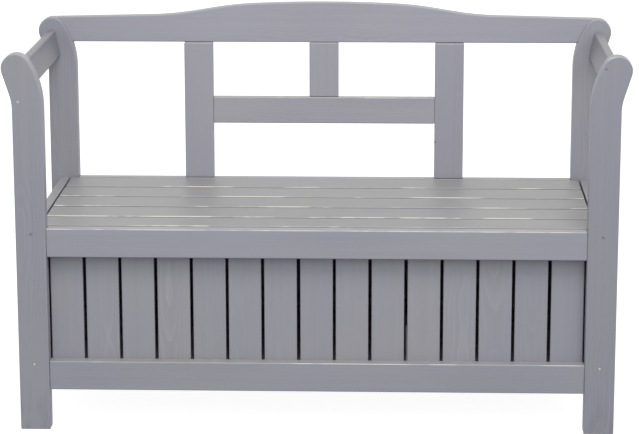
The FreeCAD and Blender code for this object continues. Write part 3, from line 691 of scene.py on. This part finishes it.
# The floor, the light and the camera
stageLook = {
    "floorHalf": 40.0,
    "floorShade": 0.40,                         # how much light the floor gives back
    "floorLift": 0.92,                          # brings the floor up to white, where it is seen
    "worldStrength": 0.50,
    "worldColour": (0.91, 0.95, 1.0, 1.0),
}
suns = {                                        # share of full light on a facing surface, degrees
    "frontSun": {"share": 0.28, "turn": 14.0, "height": 34.0, "spread": 40.0, "colour": (0.97, 0.98, 1.0)},
    "backSun": {"share": 0.24, "turn": 190.0, "height": 9.0, "spread": 40.0, "colour": (1.0, 0.99, 0.97)},
    "topSun": {"share": 0.03, "turn": 20.0, "height": 80.0, "spread": 60.0, "colour": (1.0, 0.97, 0.84)},
}
softBox = {                                     # a broad lamp above the front of the bench
    "place": (0.15, -1.30, 2.30), "aim": (0.0, -0.05, 0.50), "wide": 1.3, "high": 0.8,
    "watts": 21.5, "colour": (1.0, 0.975, 0.925),
}
cameraLook = {
    "place": (0.175, -5.1655, 1.5737),
    "turn": -1.960, "tilt": 12.788, "roll": -0.074,         # degrees
    "sensor": 36.0, "lens": 136.55,
}


def seenDirectly(tree):                         # 1 where the camera, a reflection or glass looks at it
    path = tree.node("ShaderNodeLightPath", out="Is Camera Ray")
    return (path + path.output("Is Glossy Ray") + path.output("Is Transmission Ray")).atMost(1.0)


def stageAndLight():
    mesh = bpy.data.meshes.new("floor")
    reach = stageLook["floorHalf"]
    mesh.from_pydata([(-reach, -reach, 0), (reach, -reach, 0), (reach, reach, 0), (-reach, reach, 0)], [],
                     [(0, 1, 2, 3)])
    floor = bpy.data.objects.new("floor", mesh)
    bpy.context.scene.collection.objects.link(floor)
    material = bpy.data.materials.new("paleFloor")
    material.use_nodes = True
    material.node_tree.nodes.clear()
    tree = Tree(material.node_tree)
    seen = seenDirectly(tree)
    shade = stageLook["floorShade"]
    matt = tree.node("ShaderNodeBsdfDiffuse", None, {"Color": (shade, shade, shade, 1.0)})
    lift = tree.node("ShaderNodeEmission", None, {"Strength": seen * stageLook["floorLift"]})
    both = tree.node("ShaderNodeAddShader", None, {0: matt, 1: lift})
    tree.node("ShaderNodeOutputMaterial", None, {"Surface": both})
    mesh.materials.append(material)

    world = bpy.data.worlds.new("paleRoom")
    bpy.context.scene.world = world
    world.use_nodes = True
    world.node_tree.nodes.clear()
    tree = Tree(world.node_tree)
    seen = seenDirectly(tree)
    strength = seen * (1.0 - stageLook["worldStrength"]) + stageLook["worldStrength"]
    colour = tree.mixed(seen, stageLook["worldColour"], (1.0, 1.0, 1.0, 1.0))
    room = tree.node("ShaderNodeBackground", None, {"Color": colour, "Strength": strength})
    tree.node("ShaderNodeOutputWorld", None, {"Surface": room})

    for name, sun in suns.items():
        data = bpy.data.lights.new(name, "SUN")
        data.energy = sun["share"] * math.pi
        data.angle = math.radians(sun["spread"])
        data.color = sun["colour"]
        made = bpy.data.objects.new(name, data)
        bpy.context.scene.collection.objects.link(made)
        made.rotation_euler = (math.radians(90 - sun["height"]), 0, math.radians(sun["turn"]))
        made.visible_glossy = name != "backSun"      # it would glare on the seat, seen from the front

    data = bpy.data.lights.new("softBox", "AREA")
    data.shape = "RECTANGLE"
    data.size, data.size_y = softBox["wide"], softBox["high"]
    data.energy = softBox["watts"]
    data.color = softBox["colour"]
    made = bpy.data.objects.new("softBox", data)
    bpy.context.scene.collection.objects.link(made)
    made.location = softBox["place"]
    sight = Vector(softBox["aim"]) - Vector(softBox["place"])
    made.rotation_euler = sight.to_track_quat("-Z", "Y").to_euler()
    print("stage: pale floor, room light, a soft box and", len(suns), "suns")


def photoCamera():
    data = bpy.data.cameras.new("camera")
    data.sensor_width = cameraLook["sensor"]
    data.lens = cameraLook["lens"]
    data.clip_end = 200.0
    camera = bpy.data.objects.new("camera", data)
    bpy.context.scene.collection.objects.link(camera)
    turn = Matrix.Rotation(-math.radians(cameraLook["turn"]), 4, "Z")
    tilt = Matrix.Rotation(math.pi / 2 - math.radians(cameraLook["tilt"]), 4, "X")
    roll = Matrix.Rotation(math.radians(cameraLook["roll"]), 4, "Z")
    camera.matrix_world = Matrix.Translation(cameraLook["place"]) @ turn @ tilt @ roll
    bpy.context.scene.camera = camera
    bpy.context.scene.view_settings.view_transform = "Standard"


finishFrameNodes()
slatsAndBoards()
screws()
stageAndLight()
photoCamera()
